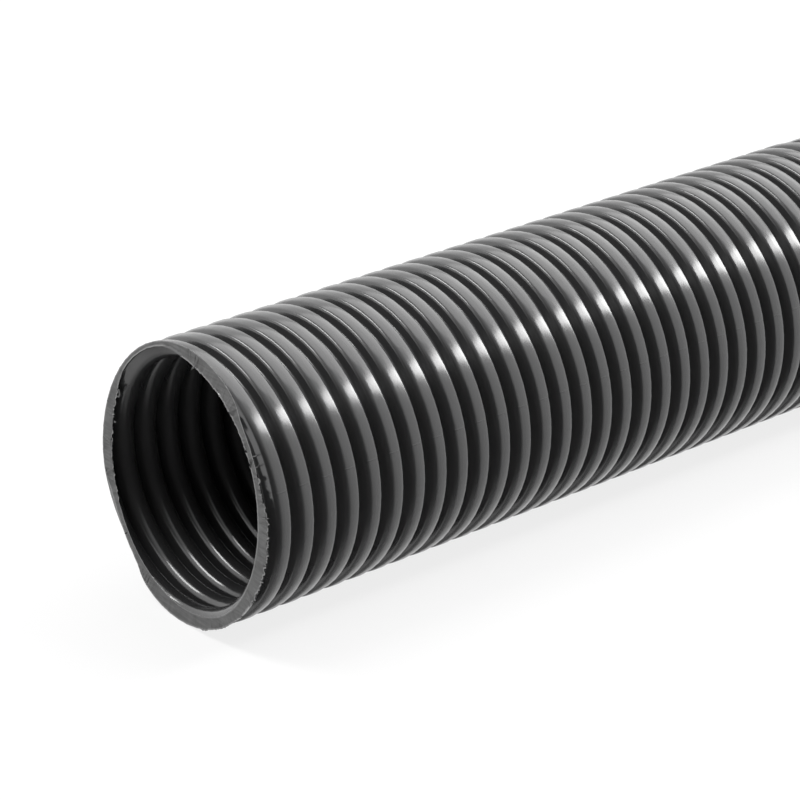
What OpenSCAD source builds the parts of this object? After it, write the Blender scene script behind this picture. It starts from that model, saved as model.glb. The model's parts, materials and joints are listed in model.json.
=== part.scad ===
// Flexible conduit: a straight one metre length of ring-corrugated grey plastic
// tube. Its ribs are broad, with nearly flat tops, and inside they leave narrow hollows
// between rounded ridges. The near end, at -X, is sawn a little askew through
// two ribs, and the far end is cut square in a groove.
// Millimetres, +Z up, lying on Z = 0.

/* [Length] */
// Length of the longest side, along X
length = 1000; // [300:50:1000]
// Wanted distance between ribs, fitted so that the far end falls in a groove
rib_spacing = 5.34; // [5.2:0.02:5.6]

/* [Section] */
// Diameter over the ribs
outer_diameter = 54.5; // [54:0.25:55]
// Clear diameter inside the ridges
bore_diameter = 47.25; // [46.75:0.25:47.5]
// Wall over the hollow of a rib
crest_wall = 0.85; // [0.7:0.05:1]
// Wall between a groove and the ridge inside it
root_wall = 1.5; // [1.3:0.05:1.6]

/* [Wave] */
// Width of a rib, halfway up its sides
rib_width = 3.7; // [3.5:0.05:3.75]
// Width of the level top of a rib
rib_top = 0.7; // [0.6:0.1:1]
// Angle by which a rib falls away from its level top towards its edges
rib_crown = 8; // [4:1:10]
// Width of the hollow inside a rib, halfway up its sides
hollow_width = 1.25; // [1.15:0.05:1.4]
// Slope of the sides, measured from the axis
side_slope = 76; // [75:1:80]
// Radius of the outer edges of a rib
shoulder_round = 0.8; // [0.6:0.05:0.9]
// Radius of the corners of a groove
groove_round = 0.6; // [0.4:0.05:0.65]
// Radius of the corners of a hollow
hollow_round = 0.25; // [0.15:0.05:0.25]
// Radius of the edges of a ridge
ridge_round = 1.8; // [1.5:0.05:1.9]

/* [Sawn end] */
// Angle by which the top of the cut leans back
cut_lean = 4.1; // [0:0.05:5]
// Angle by which the far side of the cut, at +Y, is swept back
cut_sweep = 2.9; // [0:0.05:4.5]
// Where the cut crosses the axis, measured from the middle of a groove
cut_place = 0.15; // [0:0.05:0.5]

/* [Colour] */
// Colour of the plastic
conduit_colour = [0.34, 0.34, 0.35];

/* [Hidden] */
$fn = 96;

outer_r = outer_diameter / 2;
bore_r = bore_diameter / 2;
root_r = bore_r + root_wall;
hollow_r = outer_r - crest_wall;

// How far the longest side of the cut stands out from where it crosses the axis
cut_reach = outer_r * norm([tan(cut_lean) / cos(cut_sweep), tan(cut_sweep)]);

// Whole ribs from the groove at the cut to the groove at the square end
ribbed_length = length - cut_reach + cut_place;
ribs = round(ribbed_length / rib_spacing);
pitch = ribbed_length / ribs;

// Straight steps that make up each round of the wave
shoulder_steps = 3;
groove_steps = 2;
hollow_steps = 2;
ridge_steps = 4;

function arc_points(centre, r, from, to, steps) =
    [for (k = [0 : steps]) let (a = from + (to - from) * k / steps) centre + r * [cos(a), sin(a)]];

function reversed(points) = [for (k = [len(points) - 1 : -1 : 0]) points[k]];

// Centre of the round inside two straight lines, each through a point with its normal at an angle
function round_centre(point_a, angle_a, point_b, angle_b, r) =
    let (normal_a = [cos(angle_a), sin(angle_a)],
         normal_b = [cos(angle_b), sin(angle_b)],
         reach_a = normal_a * point_a - r,
         reach_b = normal_b * point_b - r)
    [reach_b * sin(angle_a) - reach_a * sin(angle_b), reach_a * cos(angle_b) - reach_b * cos(angle_a)]
        / sin(angle_a - angle_b);

// One wave across a high of the given width, as [radius, place] points from low to low
function wave_points(high_r, low_r, width, top, crown, high_round, low_round, high_steps, low_steps) =
    let (side = [(high_r + low_r) / 2, width / 2],
         top_edge = [high_r, top / 2],
         high_centre = round_centre(side, side_slope, top_edge, crown, high_round),
         low_centre = round_centre(side, side_slope, [low_r, 0], 0, -low_round),
         fall = concat(crown > 0 ? [top_edge] : [],
                       arc_points(high_centre, high_round, crown, side_slope, high_steps),
                       arc_points(low_centre, low_round, 180 + side_slope, 180, low_steps)))
    concat([for (pt = reversed(fall)) [pt[0], -pt[1]]], fall);

// The wave repeated from the rib that the saw halves to the square end
function wave_line(wave, low_r) =
    concat([for (i = [-1 : ribs - 1], pt = wave) pt + [0, (i + 0.5) * pitch]], [[low_r, ribs * pitch]]);

module wall_section() {
    outside = wave_points(outer_r, root_r, rib_width, rib_top, rib_crown,
                          shoulder_round, groove_round, shoulder_steps, groove_steps);
    inside = wave_points(hollow_r, bore_r, hollow_width, 0, 0,
                         hollow_round, ridge_round, hollow_steps, ridge_steps);
    polygon(concat(wave_line(outside, root_r), reversed(wave_line(inside, bore_r))));
}

// What the saw takes away, with the cut crossing the axis at the origin
module saw_waste() {
    waste = 4 * outer_r;
    rotate([0, cut_lean, -cut_sweep])
        translate([-waste, -waste / 2, -waste / 2])
            cube(waste);
}

module conduit() {
    color(conduit_colour)
        translate([cut_reach - length / 2, 0, outer_r])
            difference() {
                translate([-cut_place, 0, 0])
                    rotate([0, 90, 0])
                        rotate_extrude()
                            wall_section();
                saw_waste();
            }
}

conduit();
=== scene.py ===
"""A one metre length of ring-corrugated grey plastic conduit, sawn askew at its near end."""

import json
import math
import random
from collections import namedtuple

import bmesh
import bpy
from bpy.props import FloatProperty, FloatVectorProperty, IntProperty, PointerProperty
from mathutils import Euler, Matrix, Vector


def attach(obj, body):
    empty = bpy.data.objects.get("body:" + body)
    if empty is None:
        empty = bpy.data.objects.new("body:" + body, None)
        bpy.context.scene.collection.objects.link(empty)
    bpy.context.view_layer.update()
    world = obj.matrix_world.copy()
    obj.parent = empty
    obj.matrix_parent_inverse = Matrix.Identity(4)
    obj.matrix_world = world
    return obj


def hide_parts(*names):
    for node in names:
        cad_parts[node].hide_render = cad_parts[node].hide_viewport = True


bl_info = {
    "name": "Flexible Conduit",
    "version": (1, 0, 0),
    "blender": (4, 5, 0),
    "location": "3D View > Sidebar > Conduit",
    "description": "Builds a sawn length of ring-corrugated conduit and the studio round it",
    "category": "Object",
}

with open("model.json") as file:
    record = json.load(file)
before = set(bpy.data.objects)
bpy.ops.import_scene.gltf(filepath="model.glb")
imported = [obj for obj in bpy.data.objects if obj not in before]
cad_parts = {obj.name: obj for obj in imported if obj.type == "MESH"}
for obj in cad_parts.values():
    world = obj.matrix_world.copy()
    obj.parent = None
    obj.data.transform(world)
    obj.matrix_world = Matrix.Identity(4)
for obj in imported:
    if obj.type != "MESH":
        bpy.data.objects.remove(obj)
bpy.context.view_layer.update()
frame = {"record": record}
MM = 0.001
MOUNTS = {mount["name"]: mount for mount in frame["record"]["mounts"]}
FAR_X = MOUNTS["square_end"]["pos_m"][0]
OUTER_R = MOUNTS["outside"]["dims"]["r_mm"] * MM
BORE_R = MOUNTS["bore"]["dims"]["r_mm"] * MM
AXIS_Z = MOUNTS["bore"]["pos_m"][2]

# Points closer than a hair count as one place; waves are welded where they meet
HAIR = 0.01 * MM
WELD = 0.002 * MM

# The top of a hollow is all but flat, so that its wave has as many corners as a rib's
HOLLOW_TOP = 0.1 * MM
HOLLOW_CROWN = math.radians(3)

# How the saw tore the edges of its cut: the skin, from and to in degrees, and how far in millimetres.
# Bearings here and below run from the top of the conduit towards -Y.
TORN_EDGES = (
    ("inside", 240, 300, 0.45),
    ("inside", 5, 62, 0.28),
    ("inside", 150, 240, 0.01),
    ("outside", 66, 122, 0.75),
    ("outside", 122, 165, 0.3),
)
# How far the rest of both edges is torn, and the share by which a tear stands out of the cut
EDGE_BURR = 0.05
TEAR_PROUD = 0.3
TEAR_SEED = 11
# Shorter edges of the rim are merged before it is torn, so that it can't fold over itself
SHORTEST_RIM_EDGE = 0.3 * MM
# How far the cut falls away behind its lip, as a share of the lip's width
LIP_STEEPNESS = 0.25

# Shreds that hang on the cut: bearing, radius, heading from outward, length, thickness and curl,
# in degrees and millimetres
SHREDS = (
    (297, 25.1, 175, 2.4, 0.55, -190),
    (281, 23.9, 170, 0.7, 0.40, 30),
    (5, 24.3, 240, 1.1, 0.42, 50),
    (57.5, 25.0, 12, 1.9, 0.22, 20),
    (62, 25.0, 20, 1.6, 0.22, 75),
    (76, 25.0, 10, 0.7, 0.30, 0),
    (80, 25.1, 20, 0.9, 0.30, 60),
    (83.5, 25.6, -30, 0.7, 0.26, -50),
    (97, 26.5, 30, 0.5, 0.22, 40),
    (108, 26.9, -10, 0.5, 0.22, -30),
    (137, 26.8, 40, 0.6, 0.25, 30),
)
SHRED_STEPS = 12
SHRED_SIDES = 8
# A shred starts below the cut, thins along its length, is flatter than wide and lifts off the cut
SHRED_SUNK = 0.1 * MM
SHRED_TAPER = 0.75
SHRED_FLATNESS = 0.6
SHRED_LIFT = 0.1

# What glossy surfaces see of the studio. Each part is a product of soft ramps along a direction,
# from and to, with the brightness at each.
STUDIO = {
    "beyond the far end": (
        ((1, 0, 0.1), 0.2, 0.45, 0.03, 1.9),
        ((0, 0, 1), -1.2, 0.6, 0.5, 1.06),
        ((0, 1, 0), 0.3, 0.75, 1.0, 0.4),
    ),
    "behind": (
        ((0, 1, 0), 0.4, 0.72, 0.0, 1.0),
        ((1, 0, 0), 0.65, 0.1, 1.0, 1.6),
        ((0, 0, 1), -0.5, 0.0, 0.5, 1.3),
    ),
    "panel before the sawn end": (
        ((1, 0, 0), -0.2, -0.6, 0.0, 1.0),
        ((0, 1, 0), -0.15, 0.15, 0.0, 1.0),
        ((0, 0, 1), -0.6, -0.3, 1.2, 2.2),
    ),
    "floor": (
        ((0, 0, 1), -0.6, -0.9, 0.0, 0.5),
    ),
    "ceiling": (
        ((0, 0, 1), 0.45, 1.05, 0.0, 1.35),
    ),
}
# What other surfaces see of it, from everywhere
AMBIENT = 0.35

# Lamps, a metre from what they light: how far along the conduit that is from the aim, the direction
# of the lamp, what its width lies along, its width and height in metres, and its power in watts
LAMPS = {
    "back softbox": (0.0, (0.56, 0.22, 0.74), (1, 0, 0), 1.0, 1.1, 7.2),
    "key strip": (0.1, (0.70, -0.35, 0.61), (0.76, 0.47, -0.44), 1.0, 0.18, 9),
    "top strip": (0.0, (-0.36, 0.38, 0.85), (1, 0, 0.42), 0.24, 0.7, 8.4),
}
# The side of the floor in metres, and how much of what the camera sees of it is its own colour
FLOOR_SIZE = 8
PAPER_GLOW = 0.85

# The camera's sensor in millimetres, the side of its picture, and where in it the aim lies
SENSOR = 36
FRAME_PX = 800
AIM_PX = (198.1, 480.7)
CLIP_START = 10 * MM


def linear(hex_colour):
    """An sRGB hex colour as linear RGBA."""
    levels = [int(hex_colour[i:i + 2], 16) / 255 for i in (1, 3, 5)]
    return (*[c / 12.92 if c <= 0.04045 else ((c + 0.055) / 1.055) ** 2.4 for c in levels], 1.0)


def size(name, description, millimetres):
    """A length property whose default is given in millimetres."""
    return FloatProperty(name=name, description=description, default=millimetres * MM, min=0.0,
                         subtype="DISTANCE", unit="LENGTH", precision=5)


def angle(name, description, degrees):
    """An angle property whose default is given in degrees."""
    return FloatProperty(name=name, description=description, default=math.radians(degrees),
                         subtype="ANGLE", unit="ROTATION")


def count(name, description, number):
    """A property that counts something."""
    return IntProperty(name=name, description=description, default=number, min=1)


def colour(name, description, hex_colour):
    """A colour property whose default is given in sRGB hex."""
    return FloatVectorProperty(name=name, description=description, subtype="COLOR", size=4,
                               min=0.0, max=1.0, default=linear(hex_colour))


class ConduitSizes(bpy.types.PropertyGroup):
    """Sizes of the corrugated wall and of its sawn end."""

    rib_spacing: size("Rib spacing", "Wanted distance between ribs", 5.34)
    crest_wall: size("Crest wall", "Wall over the hollow of a rib", 0.85)
    root_wall: size("Root wall", "Wall between a groove and the ridge inside it", 1.5)
    rib_width: size("Rib width", "Width of a rib halfway up its sides", 3.7)
    rib_top: size("Rib top", "Width of the level top of a rib", 0.7)
    rib_crown: angle("Rib crown", "How steeply a rib falls away from its level top", 8)
    hollow_width: size("Hollow width", "Width of the hollow inside a rib", 1.25)
    side_slope: angle("Side slope", "Slope of the sides, measured from the axis", 76)
    crown_round: size("Crown round", "Radius between the level top of a rib and its fall", 4)
    shoulder_round: size("Shoulder round", "Radius of the outer edges of a rib", 0.8)
    groove_round: size("Groove round", "Radius of the corners of a groove", 0.6)
    hollow_round: size("Hollow round", "Radius of the corners of a hollow", 0.25)
    ridge_round: size("Ridge round", "Radius of the edges of a ridge", 1.8)
    cut_lean: angle("Cut lean", "How far the top of the cut leans back", 4.1)
    cut_sweep: angle("Cut sweep", "How far the far side of the cut is swept back", 2.9)
    cut_place: size("Cut place", "Where the cut crosses the axis, from the middle of a groove", 0.15)
    # The lip's paler tone is a painted highlight, not a colour of the plastic
    rim_lip: size("Rim lip", "Width of the paler lip that the saw raised along the edges of its cut", 0.35)
    part_line: angle("Parting line", "Bearing of the line where the halves of the mould met", 74.3)


class ConduitDetail(bpy.types.PropertyGroup):
    """How finely the corrugated wall is modelled."""

    near_ribs: count("Near ribs", "Ribs at the sawn end modelled finely outside", 32)
    near_hollows: count("Near hollows", "Ribs at the sawn end modelled finely inside", 10)
    far_ribs: count("Far ribs", "Ribs at the square end modelled finely", 2)
    near_sides: count("Near sides", "Sides round the fine ribs at the sawn end", 60)
    far_sides: count("Far sides", "Sides round the fine ribs at the square end", 48)
    plain_rib_sides: count("Plain rib sides", "Sides round the plain ribs along the middle", 20)
    plain_hollow_sides: count("Plain hollow sides", "Sides round the plain hollows along the middle", 12)
    shoulder_steps: count("Shoulder steps", "Steps of the round on the edges of a rib", 4)
    groove_steps: count("Groove steps", "Steps of the round in the corners of a groove", 2)
    hollow_steps: count("Hollow steps", "Steps of the round in the corners of a hollow", 2)
    ridge_steps: count("Ridge steps", "Steps of the round on the edges of a ridge", 4)
    rim_cuts: count("Rim cuts", "Points added to each edge of the sawn rim", 6)


class ConduitColours(bpy.types.PropertyGroup):
    """Colours of the plastic, as moulded and as sawn, and of the highlight painted on the lip of the cut."""

    moulded_dark: colour("Moulded, dark", "Darkest tone of the moulded skin", "#252526")
    moulded_pale: colour("Moulded, pale", "Palest tone of the moulded skin", "#292929")
    sawn_dark: colour("Sawn, dark", "Darkest tone of the sawn face", "#292929")
    sawn_pale: colour("Sawn, pale", "Palest tone of the sawn face", "#4a4a4a")
    # Painted highlight: the lip along the torn edges of the cut is painted in this paler tone, standing in
    # for the light that it catches
    torn: colour("Torn", "Tone of the torn edges of the cut", "#7c7c7c")


class StudioLook(bpy.types.PropertyGroup):
    """Camera and floor of the studio."""

    lens: FloatProperty(name="Lens", description="Focal length in millimetres", default=157.6)
    aim_place: size("Aim", "The point that the camera is placed from, from the first groove", 3.645)
    distance: size("Distance", "From the camera to that point", 651.3)
    pitch: angle("Pitch", "How far the camera looks down", 23.94)
    turn: angle("Turn", "Heading of the camera, from +Y towards +X", 40.5)
    floor_colour: colour("Floor", "Colour of the floor", "#fbfbfb")


def connect(tree, node, inputs):
    """Link or set a node's inputs, by name or number."""
    for key, value in inputs.items():
        if isinstance(value, bpy.types.NodeSocket):
            tree.links.new(value, node.inputs[key])
        else:
            node.inputs[key].default_value = value


def add(tree, kind, inputs=None, **settings):
    """Add a node with its settings, and link or set its inputs."""
    made = tree.nodes.new(kind)
    for name, value in settings.items():
        setattr(made, name, value)
    connect(tree, made, inputs or {})
    return made


def wave_curve(tree, ins):
    """Nodes for one wave, from low to low, as a curve along X whose radius follows the wall."""
    # Half widths and radii at the corners of the wave, each worked out from what stands above it
    sums = (
        ("rise", "SUBTRACT", "High", "Low"),
        ("side steepness", "TANGENT", "Side slope"),
        ("crown steepness", "TANGENT", "Crown"),
        ("run", "DIVIDE", "rise", "side steepness"),
        ("end", "MULTIPLY", "Pitch", 0.5),
        ("foot width", "ADD", "Width", "run"),
        ("foot", "MULTIPLY", "foot width", 0.5),
        ("level edge", "MULTIPLY", "Top", 0.5),
        ("uncrowned width", "SUBTRACT", "Width", "run"),
        ("uncrowned edge", "MULTIPLY", "uncrowned width", 0.5),
        ("fall", "DIVIDE", "crown steepness", "side steepness"),
        ("level fall", "MULTIPLY", "fall", "level edge"),
        ("fallen edge", "SUBTRACT", "uncrowned edge", "level fall"),
        ("side share", "SUBTRACT", 1.0, "fall"),
        ("shoulder", "DIVIDE", "fallen edge", "side share"),
        ("crown width", "SUBTRACT", "shoulder", "level edge"),
        ("drop", "MULTIPLY", "crown width", "crown steepness"),
        ("shoulder radius", "SUBTRACT", "High", "drop"),
    )
    known = dict(ins.items())
    for name, operation, *terms in sums:
        values = {k: known.get(term, term) for k, term in enumerate(terms)}
        known[name] = add(tree, "ShaderNodeMath", values, operation=operation).outputs[0]

    # Corners from the end of the wave to its top: place, radius, and the radius and steps of the round
    half = (
        ("end", "Low", 0.0, 1),
        ("foot", "Low", "Low round", "Low steps"),
        ("shoulder", "shoulder radius", "High round", "High steps"),
        ("level edge", "High", "Crown round", 1),
    )
    points, rounds, steps = [], [], []
    for side, corners in ((-1.0, half), (1.0, half[::-1])):
        for place, radius, corner_round, corner_steps in corners:
            along = add(tree, "ShaderNodeMath", {0: known[place], 1: side}, operation="MULTIPLY")
            point = add(tree, "ShaderNodeCombineXYZ", {"X": along.outputs[0], "Y": known[radius]})
            points.append(point.outputs[0])
            rounds.append(known.get(corner_round, corner_round))
            steps.append(known.get(corner_steps, corner_steps))
    corner = add(tree, "GeometryNodeInputIndex").outputs[0]
    picked = {}
    for kind, values in (("VECTOR", points), ("FLOAT", rounds), ("INT", steps)):
        switch = add(tree, "GeometryNodeIndexSwitch", data_type=kind)
        while len(switch.index_switch_items) < len(values):
            switch.index_switch_items.new()
        connect(tree, switch, {"Index": corner} | {str(k): value for k, value in enumerate(values)})
        picked[kind] = switch.outputs[0]

    line = add(tree, "GeometryNodeMeshLine", {"Count": len(points)})
    curve = add(tree, "GeometryNodeMeshToCurve", {"Mesh": line.outputs[0]})
    bent = add(tree, "GeometryNodeSetPosition", {"Geometry": curve.outputs[0], "Position": picked["VECTOR"]})
    rounded = add(tree, "GeometryNodeFilletCurve",
                  {"Curve": bent.outputs[0], "Radius": picked["FLOAT"], "Count": picked["INT"],
                   "Limit Radius": True}, mode="POLY")
    chosen = add(tree, "GeometryNodeSwitch",
                 {"Switch": ins["Rounded"], "False": bent.outputs[0], "True": rounded.outputs[0]},
                 input_type="GEOMETRY")
    place = add(tree, "ShaderNodeSeparateXYZ", {0: add(tree, "GeometryNodeInputPosition").outputs[0]})
    swollen = add(tree, "GeometryNodeSetCurveRadius",
                  {"Curve": chosen.outputs[0], "Radius": place.outputs["Y"]})
    straight = add(tree, "ShaderNodeCombineXYZ", {"X": place.outputs["X"]})
    return add(tree, "GeometryNodeSetPosition",
               {"Geometry": swollen.outputs[0], "Position": straight.outputs[0]}).outputs[0]


def corrugation_tree(material):
    """Geometry nodes that turn one wave round the axis and repeat it along the axis."""
    tree = bpy.data.node_groups.new("corrugation", "GeometryNodeTree")
    tree.interface.new_socket("Geometry", in_out="OUTPUT", socket_type="NodeSocketGeometry")
    sockets = {
        "NodeSocketInt": ("Waves", "Around", "High steps", "Low steps"),
        "NodeSocketBool": ("Rounded",),
        "NodeSocketFloat": ("Start", "Pitch", "Axis height", "High", "Low", "Width", "Side slope",
                            "Top", "Crown", "High round", "Low round", "Crown round"),
    }
    for kind, names in sockets.items():
        for name in names:
            tree.interface.new_socket(name, in_out="INPUT", socket_type=kind)
    ins = add(tree, "NodeGroupInput").outputs
    circle = add(tree, "GeometryNodeCurvePrimitiveCircle", {"Resolution": ins["Around"], "Radius": 1.0})
    wave = add(tree, "GeometryNodeCurveToMesh",
               {"Curve": wave_curve(tree, ins), "Profile Curve": circle.outputs[0],
                "Scale": add(tree, "GeometryNodeInputRadius").outputs[0]})
    half_pitch = add(tree, "ShaderNodeMath", {0: ins["Pitch"], 1: 0.5}, operation="MULTIPLY")
    first = add(tree, "ShaderNodeMath", {0: ins["Start"], 1: half_pitch.outputs[0]}, operation="ADD")
    start = add(tree, "ShaderNodeCombineXYZ", {"X": first.outputs[0], "Z": ins["Axis height"]})
    step = add(tree, "ShaderNodeCombineXYZ", {"X": ins["Pitch"]})
    row = add(tree, "GeometryNodeMeshLine",
              {"Count": ins["Waves"], "Start Location": start.outputs[0], "Offset": step.outputs[0]})
    waves = add(tree, "GeometryNodeInstanceOnPoints",
                {"Points": row.outputs[0], "Instance": wave.outputs[0]})
    real = add(tree, "GeometryNodeRealizeInstances", {"Geometry": waves.outputs[0]})
    welded = add(tree, "GeometryNodeMergeByDistance", {"Geometry": real.outputs[0], "Distance": WELD})
    dressed = add(tree, "GeometryNodeSetMaterial", {"Geometry": welded.outputs[0], "Material": material})
    add(tree, "NodeGroupOutput", {0: dressed.outputs[0]})
    return tree


def stretch_mesh(tree, values):
    """The mesh that the corrugation tree makes from these inputs."""
    blank = bpy.data.objects.new("stretch", bpy.data.meshes.new("stretch"))
    bpy.context.scene.collection.objects.link(blank)
    modifier = blank.modifiers.new("corrugation", "NODES")
    modifier.node_group = tree
    for item in tree.interface.items_tree:
        if item.in_out == "INPUT":
            modifier[item.identifier] = values[item.name]
    graph = bpy.context.evaluated_depsgraph_get()
    mesh = bpy.data.meshes.new_from_object(blank.evaluated_get(graph))
    bpy.data.objects.remove(blank)
    return mesh


def polyamide(name, surface):
    """The named material, built the first time that it is asked for."""
    material = bpy.data.materials.get(name)
    if material is None:
        material = bpy.data.materials.new(name)
        material.use_nodes = True
        tree = material.node_tree
        shader = tree.nodes["Principled BSDF"]
        shader.inputs["IOR"].default_value = 1.53
        surface(tree, shader, add(tree, "ShaderNodeTexCoord").outputs["Object"])
    return material


def moulded_plastic(tree, shader, place):
    """Polyamide blown against polished mould blocks: dark, glossy, and faintly ringed round the tube."""
    colours = bpy.context.scene.conduit_colours
    part_line = bpy.context.scene.conduit_sizes.part_line

    # Turned mould blocks leave rings about 0.3 mm wide, which are drawn wider so that they show
    ring_width = 0.8 * MM
    ring_length = 9 * MM
    ring_height = 0.006 * MM
    # The parting line is a fine ridge on the rib tops, on both sides of the tube
    line_width = 0.2 * MM
    line_height = 0.05 * MM
    line_starts = OUTER_R - 0.5 * MM
    line_full = OUTER_R - 0.1 * MM
    # Handling dulls the gloss in patches
    patch_width = 6 * MM

    # Where a point lies round the tube, from its place
    known = dict(add(tree, "ShaderNodeSeparateXYZ", {0: place}).outputs.items())
    sums = (
        ("height", "SUBTRACT", "Z", AXIS_Z),
        ("nearness", "MULTIPLY", "Y", -1.0),
        ("bearing", "ARCTAN2", "nearness", "height"),
        ("width squared", "POWER", "Y", 2.0),
        ("height squared", "POWER", "height", 2.0),
        ("radius squared", "ADD", "width squared", "height squared"),
        ("radius", "SQRT", "radius squared"),
        ("ring", "DIVIDE", "X", ring_width),
        ("round the ring", "MULTIPLY", "bearing", OUTER_R / ring_length),
        ("past the line", "SUBTRACT", "bearing", part_line),
        ("turn from a line", "PINGPONG", "past the line", math.pi / 2),
        ("way from a line", "MULTIPLY", "turn from a line", OUTER_R),
    )
    for name, operation, *terms in sums:
        values = {k: known.get(term, term) for k, term in enumerate(terms)}
        known[name] = add(tree, "ShaderNodeMath", values, operation=operation).outputs[0]

    round_tube = add(tree, "ShaderNodeCombineXYZ", {"X": known["ring"], "Y": known["round the ring"]})
    rings = add(tree, "ShaderNodeTexNoise",
                {"Vector": round_tube.outputs[0], "Scale": 1.0, "Detail": 2.0})
    ringed = add(tree, "ShaderNodeBump",
                 {"Height": rings.outputs["Fac"], "Strength": 1.0, "Distance": ring_height})

    line = add(tree, "ShaderNodeMapRange",
               {"Value": known["way from a line"], "From Min": 0.0, "From Max": line_width,
                "To Min": 1.0, "To Max": 0.0})
    on_top = add(tree, "ShaderNodeMapRange",
                 {"Value": known["radius"], "From Min": line_starts, "From Max": line_full})
    ridge = add(tree, "ShaderNodeMath", {0: line.outputs[0], 1: on_top.outputs[0]}, operation="MULTIPLY")
    parted = add(tree, "ShaderNodeBump",
                 {"Height": ridge.outputs[0], "Strength": 1.0, "Distance": line_height,
                  "Normal": ringed.outputs[0]})

    patches = add(tree, "ShaderNodeTexNoise", {"Vector": place, "Scale": 1 / patch_width, "Detail": 3.0})
    dulled = add(tree, "ShaderNodeMapRange",
                 {"Value": patches.outputs["Fac"], "From Min": 0.3, "From Max": 0.7,
                  "To Min": 0.17, "To Max": 0.24})
    shade = add(tree, "ShaderNodeMix",
                {"Factor": patches.outputs["Fac"], "A": colours.moulded_dark, "B": colours.moulded_pale},
                data_type="RGBA")
    connect(tree, shader, {"Base Color": shade.outputs["Result"], "Roughness": dulled.outputs[0],
                           "Normal": parted.outputs[0]})


def sawn_plastic(tree, shader, place):
    """The same polyamide where a saw went through: matt, paler, and scored along the strokes of the saw."""
    colours = bpy.context.scene.conduit_colours
    # Strokes run level, so their lines are close above each other and long across
    line_depth = 2 * MM
    line_length = 5 * MM
    line_spacing = 0.35 * MM
    score_depth = 0.06 * MM
    patch_width = 3 * MM

    stroke = add(tree, "ShaderNodeMapping",
                 {"Vector": place, "Scale": (1 / line_depth, 1 / line_length, 1 / line_spacing)})
    lines = add(tree, "ShaderNodeTexNoise", {"Vector": stroke.outputs[0], "Scale": 1.0, "Detail": 3.0})
    patches = add(tree, "ShaderNodeTexNoise", {"Vector": place, "Scale": 1 / patch_width, "Detail": 2.0})
    scored = add(tree, "ShaderNodeBump",
                 {"Height": lines.outputs["Fac"], "Strength": 1.0, "Distance": score_depth})
    tone = add(tree, "ShaderNodeMath", {0: lines.outputs["Fac"], 1: patches.outputs["Fac"]}, operation="ADD")
    spread = add(tree, "ShaderNodeMapRange", {"Value": tone.outputs[0], "From Min": 0.7, "From Max": 1.3})
    shade = add(tree, "ShaderNodeMix",
                {"Factor": spread.outputs[0], "A": colours.sawn_dark, "B": colours.sawn_pale},
                data_type="RGBA")
    # Painted highlight: the raised lip along the torn edges of the cut is painted paler, standing in for the
    # light that it catches
    raw_edge = add(tree, "ShaderNodeAttribute", attribute_name="raw_edge")
    edged = add(tree, "ShaderNodeMix",
                {"Factor": raw_edge.outputs["Fac"], "A": shade.outputs["Result"], "B": colours.torn},
                data_type="RGBA")
    connect(tree, shader, {"Base Color": edged.outputs["Result"], "Roughness": 0.6,
                           "Normal": scored.outputs[0]})


Layout = namedtuple("Layout", "normal cut_x first_groove ribs pitch")


def layout(sizes):
    """The cut's inward normal, where it crosses the axis, the first groove, the ribs and their pitch."""
    normal = Euler((0, sizes.cut_lean, -sizes.cut_sweep)).to_matrix() @ Vector((1, 0, 0))
    cut_x = OUTER_R * math.hypot(normal.y, normal.z) / normal.x - FAR_X
    first_groove = cut_x - sizes.cut_place
    ribs = round((FAR_X - first_groove) / sizes.rib_spacing)
    return Layout(normal, cut_x, first_groove, ribs, (FAR_X - first_groove) / ribs)


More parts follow.
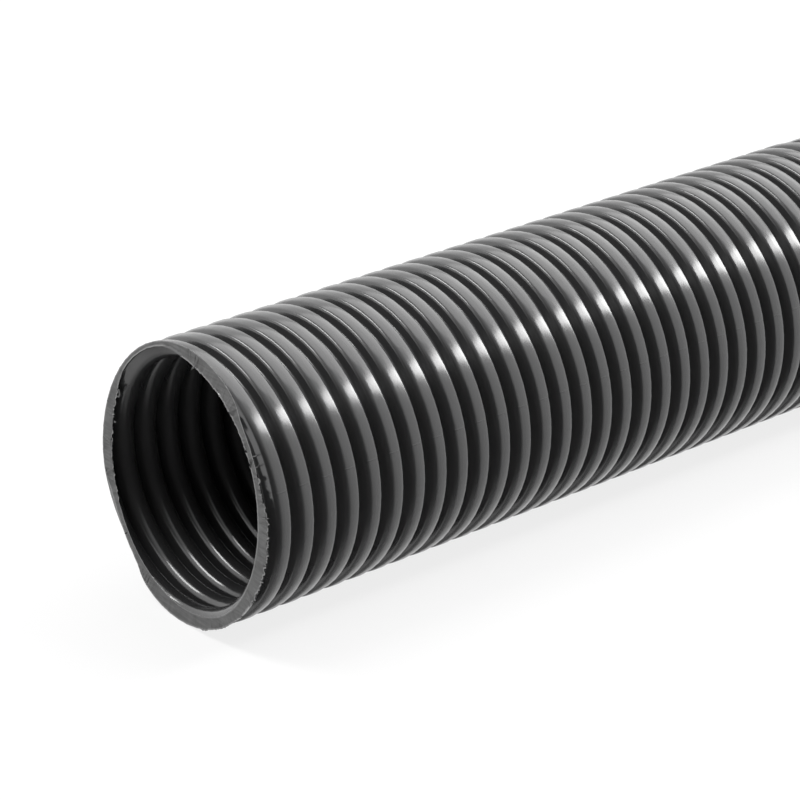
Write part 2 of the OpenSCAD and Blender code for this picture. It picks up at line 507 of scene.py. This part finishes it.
class CONDUIT_OT_wall(bpy.types.Operator):
    """Make the corrugated wall with its sawn end"""

    bl_idname = "conduit.wall"
    bl_label = "Conduit wall"

    def execute(self, context):
        sizes = context.scene.conduit_sizes
        detail = context.scene.conduit_detail
        gloss = polyamide("moulded_grey_polyamide", moulded_plastic)
        sawn = polyamide("sawn_grey_polyamide", sawn_plastic)
        tree = corrugation_tree(gloss)
        outside = {"High": OUTER_R, "Low": BORE_R + sizes.root_wall, "Width": sizes.rib_width,
                   "Top": sizes.rib_top, "Crown": sizes.rib_crown, "High round": sizes.shoulder_round,
                   "Low round": sizes.groove_round, "High steps": detail.shoulder_steps,
                   "Low steps": detail.groove_steps}
        inside = {"High": OUTER_R - sizes.crest_wall, "Low": BORE_R, "Width": sizes.hollow_width,
                  "Top": HOLLOW_TOP, "Crown": HOLLOW_CROWN, "High round": sizes.hollow_round,
                  "Low round": sizes.ridge_round, "High steps": detail.hollow_steps,
                  "Low steps": detail.ridge_steps}
        bm = bmesh.new()
        self.add_skin(bm, tree, outside, detail.near_ribs, detail.plain_rib_sides)
        is_inside = bm.faces.layers.int.new("inside")
        # Marks the points of the cut's lip on which a highlight is painted
        raw_edge = bm.verts.layers.float.new("raw_edge")
        outer_faces = len(bm.faces)
        self.add_skin(bm, tree, inside, detail.near_hollows, detail.plain_hollow_sides)
        bm.faces.ensure_lookup_table()
        for face in bm.faces[outer_faces:]:
            face[is_inside] = 1
        square_end = [e for e in bm.edges if e.is_boundary and e.verts[0].co.x > FAR_X - HAIR]
        bmesh.ops.bridge_loops(bm, edges=square_end)
        self.saw(bm)
        self.tear_rim(bm, is_inside)
        self.close_cut(bm, raw_edge)
        bm.faces.layers.int.remove(is_inside)
        mesh = bpy.data.meshes.new("conduit_wall")
        bm.to_mesh(mesh)
        bm.free()
        mesh.materials.append(gloss)
        mesh.materials.append(sawn)
        wall = bpy.data.objects.new("conduit_wall", mesh)
        context.scene.collection.objects.link(wall)
        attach(wall, "root")
        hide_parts("conduit")
        return {"FINISHED"}

    def add_skin(self, bm, tree, profile, near, plain_sides):
        """Add one skin of the wall: fine near both ends, with fewer sides and plain corners between."""
        sizes = bpy.context.scene.conduit_sizes
        detail = bpy.context.scene.conduit_detail
        plan = layout(sizes)
        # The saw halves the rib before the first groove
        halved_rib = -1
        far = plan.ribs - detail.far_ribs
        joins = [plan.first_groove + rib * plan.pitch for rib in (near, far)]
        shared = {"Pitch": plan.pitch, "Axis height": AXIS_Z, "Side slope": sizes.side_slope,
                  "Crown round": sizes.crown_round}
        stretches = ((halved_rib, near, detail.near_sides, True), (near, far, plain_sides, False),
                     (far, plan.ribs, detail.far_sides, True))
        for first, last, around, rounded in stretches:
            old_verts = len(bm.verts)
            mesh = stretch_mesh(tree, shared | profile | {
                "Start": plan.first_groove + first * plan.pitch, "Waves": last - first,
                "Around": around, "Rounded": rounded})
            # Plain corners are sharp, so that plain ribs look as crisp as round ones
            for edge in mesh.edges:
                start, end = (mesh.vertices[k].co.x for k in edge.vertices)
                edge.use_edge_sharp = not rounded and abs(start - end) < HAIR
            bm.from_mesh(mesh)
            # A fine stretch loses the ring where it meets a plain one, and the gap is bridged
            if rounded:
                bm.verts.ensure_lookup_table()
                met = [v for v in bm.verts[old_verts:]
                       if v.is_boundary and min(abs(v.co.x - join) for join in joins) < HAIR]
                bmesh.ops.delete(bm, geom=met, context="VERTS")
        for join in joins:
            gap = [e for e in bm.edges if e.is_boundary and abs(e.verts[0].co.x - join) < plan.pitch / 2]
            bmesh.ops.bridge_loops(bm, edges=gap)

    def saw(self, bm):
        """Cut the near end off, and give the edges of the cut points that can be torn."""
        plan = layout(bpy.context.scene.conduit_sizes)
        rim_cuts = bpy.context.scene.conduit_detail.rim_cuts
        bmesh.ops.bisect_plane(bm, geom=bm.verts[:] + bm.edges[:] + bm.faces[:], dist=HAIR / 10,
                               plane_co=(plan.cut_x, 0, AXIS_Z), plane_no=plan.normal, clear_inner=True)
        rim_verts = [v for v in bm.verts if v.is_boundary]
        bmesh.ops.remove_doubles(bm, verts=rim_verts, dist=SHORTEST_RIM_EDGE)
        bmesh.ops.subdivide_edges(bm, edges=[e for e in bm.edges if e.is_boundary], cuts=rim_cuts)
        bmesh.ops.poke(bm, faces=[f for f in bm.faces if len(f.verts) > 4])

    def tear_rim(self, bm, is_inside):
        """Pull the points of the cut's edges over the wall and out of the cut."""
        normal = layout(bpy.context.scene.conduit_sizes).normal
        draw = random.Random(TEAR_SEED)
        for vert in [v for v in bm.verts if v.is_boundary]:
            spoke = Vector((0, vert.co.y, vert.co.z - AXIS_Z)).normalized()
            bearing = math.degrees(math.atan2(-spoke.y, spoke.z)) % 360
            skin = "inside" if vert.link_faces[0][is_inside] else "outside"
            depths = [depth for torn, start, end, depth in TORN_EDGES
                      if torn == skin and start <= bearing <= end]
            depth = (depths[0] if depths else EDGE_BURR) * MM
            overhang = spoke if skin == "outside" else -spoke
            vert.co += depth * draw.random() ** 2 * overhang - TEAR_PROUD * depth * draw.random() * normal

    def close_cut(self, bm, raw_edge):
        """Fill the cut, with a raised lip along its edges, whose points are marked for the highlight that
        the sawn finish paints on it.
        """
        sizes = bpy.context.scene.conduit_sizes
        for face in bm.faces:
            face.material_index = 0
        rim = [e for e in bm.edges if e.is_boundary]
        # Rim points carry the painted highlight of the lip; the inset face of the cut is cleared of it below
        for vert in {v for e in rim for v in e.verts}:
            vert[raw_edge] = 1.0
        filled = bmesh.ops.triangle_fill(bm, edges=rim, use_beauty=True, normal=-layout(sizes).normal)
        sawn = [face for face in filled["geom"] if isinstance(face, bmesh.types.BMFace)]
        lip = bmesh.ops.inset_region(bm, faces=sawn, thickness=sizes.rim_lip,
                                     depth=-LIP_STEEPNESS * sizes.rim_lip, use_boundary=True)
        for face in sawn + lip["faces"]:
            face.material_index = 1
        for vert in {v for face in sawn for v in face.verts}:
            vert[raw_edge] = 0.0
        bmesh.ops.recalc_face_normals(bm, faces=bm.faces[:])
        for face in bm.faces:
            face.smooth = face.material_index == 0
        for edge in bm.edges:
            if len({face.material_index for face in edge.link_faces}) > 1:
                edge.smooth = False


class CONDUIT_OT_burrs(bpy.types.Operator):
    """Make the shreds of plastic that the saw left on the sawn end"""

    bl_idname = "conduit.burrs"
    bl_label = "Saw burrs"

    def execute(self, context):
        plan = layout(context.scene.conduit_sizes)
        bm = bmesh.new()
        for bearing, radius, heading, length, thickness, curl in SHREDS:
            turned = math.radians(bearing)
            spoke = Vector((0, -math.sin(turned), math.cos(turned)))
            ahead = Vector((0, -math.cos(turned), -math.sin(turned)))
            root = radius * MM * spoke
            root.x = plan.cut_x - plan.normal.dot(root) / plan.normal.x
            root.z += AXIS_Z
            way = math.cos(math.radians(heading)) * spoke + math.sin(math.radians(heading)) * ahead
            self.add_shred(bm, root, way, -plan.normal, length * MM, thickness * MM, math.radians(curl))
        bmesh.ops.recalc_face_normals(bm, faces=bm.faces[:])
        for face in bm.faces:
            face.smooth = True
        mesh = bpy.data.meshes.new("saw_burrs")
        bm.to_mesh(mesh)
        bm.free()
        mesh.materials.append(polyamide("sawn_grey_polyamide", sawn_plastic))
        burrs = bpy.data.objects.new("saw_burrs", mesh)
        context.scene.collection.objects.link(burrs)
        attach(burrs, "root")
        return {"FINISHED"}

    def add_shred(self, bm, root, way, proud, length, thickness, curl):
        """Add a flat tapering shred that starts in the cut and curls as it leaves it."""
        here = root - SHRED_SUNK * proud
        spokes = [2 * math.pi * k / SHRED_SIDES for k in range(SHRED_SIDES)]
        rings = []
        for step in range(SHRED_STEPS + 1):
            across = way.cross(proud)
            wide = thickness / 2 * (1 - SHRED_TAPER * (step / SHRED_STEPS) ** 2)
            rings.append([
                bm.verts.new(here + wide * (math.cos(a) * across + SHRED_FLATNESS * math.sin(a) * proud))
                for a in spokes])
            here = here + length / SHRED_STEPS * (way + SHRED_LIFT * proud)
            way = Matrix.Rotation(curl / SHRED_STEPS, 3, proud) @ way
        for ring, after in zip(rings, rings[1:]):
            for k in range(SHRED_SIDES):
                beside = (k + 1) % SHRED_SIDES
                bm.faces.new((ring[k], ring[beside], after[beside], after[k]))
        bm.faces.new(rings[0])
        bm.faces.new(rings[-1])


class CONDUIT_OT_stage(bpy.types.Operator):
    """Make the floor, the lights and the camera"""

    bl_idname = "conduit.stage"
    bl_label = "Studio"

    def execute(self, context):
        scene = context.scene
        look = scene.conduit_studio
        scene.view_settings.view_transform = "Standard"
        self.add_world(scene)
        self.add_floor(context, look)
        aim = Vector((layout(scene.conduit_sizes).first_groove + look.aim_place, 0, AXIS_Z))
        self.add_camera(scene, look, aim)
        for name, (along_conduit, direction, along, width, height, power) in LAMPS.items():
            lit = aim + Vector((along_conduit, 0, 0))
            self.add_lamp(scene, name, lit, direction, along, width, height, power)
        return {"FINISHED"}

    def add_world(self, scene):
        """Light from all round, in which glossy surfaces see the parts of a studio."""
        world = bpy.data.worlds.new("studio")
        scene.world = world
        world.use_nodes = True
        tree = world.node_tree
        ray = add(tree, "ShaderNodeTexCoord").outputs["Generated"]
        # The brightest of the studio's parts along a ray
        glow = 0.0
        for ramps in STUDIO.values():
            part = 1.0
            for direction, low, high, at_low, at_high in ramps:
                along = add(tree, "ShaderNodeVectorMath", {0: ray, 1: direction}, operation="DOT_PRODUCT")
                ramp = add(tree, "ShaderNodeMapRange",
                           {"Value": along.outputs["Value"], "From Min": low, "From Max": high,
                            "To Min": at_low, "To Max": at_high}, interpolation_type="SMOOTHSTEP")
                product = add(tree, "ShaderNodeMath", {0: ramp.outputs[0], 1: part}, operation="MULTIPLY")
                part = product.outputs[0]
            glow = add(tree, "ShaderNodeMath", {0: part, 1: glow}, operation="MAXIMUM").outputs[0]
        glossy = add(tree, "ShaderNodeLightPath").outputs["Is Glossy Ray"]
        seen = add(tree, "ShaderNodeMix", {"Factor": glossy, "A": AMBIENT, "B": glow})
        connect(tree, tree.nodes["Background"], {"Color": (1, 1, 1, 1), "Strength": seen.outputs[0]})

    def add_floor(self, context, look):
        """White paper that keeps the shadow, is pale to the camera and lets glossy rays through."""
        bpy.ops.mesh.primitive_plane_add(size=FLOOR_SIZE)
        floor = context.object
        floor.name = "floor"
        paper = bpy.data.materials.new("white_paper")
        paper.use_nodes = True
        tree = paper.node_tree
        tree.nodes.clear()
        path = add(tree, "ShaderNodeLightPath").outputs
        matt = add(tree, "ShaderNodeBsdfDiffuse", {"Color": look.floor_colour})
        glow = add(tree, "ShaderNodeEmission", {"Color": look.floor_colour, "Strength": 1.0})
        clear = add(tree, "ShaderNodeBsdfTransparent")
        share = add(tree, "ShaderNodeMath", {0: path["Is Camera Ray"], 1: PAPER_GLOW}, operation="MULTIPLY")
        seen = add(tree, "ShaderNodeMixShader",
                   {0: share.outputs[0], 1: matt.outputs[0], 2: glow.outputs[0]})
        mirrored = add(tree, "ShaderNodeMixShader",
                       {0: path["Is Glossy Ray"], 1: seen.outputs[0], 2: clear.outputs[0]})
        add(tree, "ShaderNodeOutputMaterial", {"Surface": mirrored.outputs[0]})
        floor.data.materials.append(paper)

    def add_camera(self, scene, look, aim):
        """A camera that sees the aim at its place in the picture."""
        turn = Euler((math.pi / 2 - look.pitch, 0, -look.turn)).to_matrix()
        right, up, back = turn.col
        camera = bpy.data.objects.new("camera", bpy.data.cameras.new("camera"))
        camera.data.lens = look.lens
        camera.data.sensor_width = SENSOR
        camera.data.clip_start = CLIP_START
        camera.rotation_euler = turn.to_euler()
        focal_px = look.lens / SENSOR * FRAME_PX
        side = (FRAME_PX / 2 - AIM_PX[0]) / focal_px
        rise = (AIM_PX[1] - FRAME_PX / 2) / focal_px
        camera.location = aim + look.distance * (back + side * right + rise * up)
        scene.collection.objects.link(camera)
        scene.camera = camera

    def add_lamp(self, scene, name, lit, direction, along, width, height, power):
        """An area lamp, one metre away in the given direction, whose width lies along a vector."""
        light = bpy.data.lights.new(name, "AREA")
        light.shape = "RECTANGLE"
        light.size = width
        light.size_y = height
        light.energy = power
        lamp = bpy.data.objects.new(name, light)
        away = Vector(direction).normalized()
        upright = away.cross(Vector(along)).normalized()
        sideways = upright.cross(away)
        lamp.matrix_world = Matrix((sideways, upright, away)).transposed().to_4x4()
        lamp.location = lit + away
        scene.collection.objects.link(lamp)


class CONDUIT_PT_panel(bpy.types.Panel):
    """Sizes, colours and operators of the conduit"""

    bl_label = "Conduit"
    bl_idname = "CONDUIT_PT_panel"
    bl_space_type = "VIEW_3D"
    bl_region_type = "UI"
    bl_category = "Conduit"

    def draw(self, context):
        for group_name in GROUPS:
            group = getattr(context.scene, group_name)
            for name in group.__annotations__:
                self.layout.prop(group, name)
        for operator in OPERATORS:
            self.layout.operator(operator.bl_idname)


GROUPS = {
    "conduit_sizes": ConduitSizes,
    "conduit_detail": ConduitDetail,
    "conduit_colours": ConduitColours,
    "conduit_studio": StudioLook,
}
OPERATORS = (CONDUIT_OT_wall, CONDUIT_OT_burrs, CONDUIT_OT_stage)
CLASSES = (*GROUPS.values(), *OPERATORS, CONDUIT_PT_panel)


def register():
    for cls in CLASSES:
        bpy.utils.register_class(cls)
    for name, group in GROUPS.items():
        setattr(bpy.types.Scene, name, PointerProperty(type=group))


def unregister():
    for name in GROUPS:
        delattr(bpy.types.Scene, name)
    for cls in reversed(CLASSES):
        bpy.utils.unregister_class(cls)


def main():
    register()
    bpy.ops.conduit.wall()
    bpy.ops.conduit.burrs()
    bpy.ops.conduit.stage()


if __name__ == "__main__":
    main()
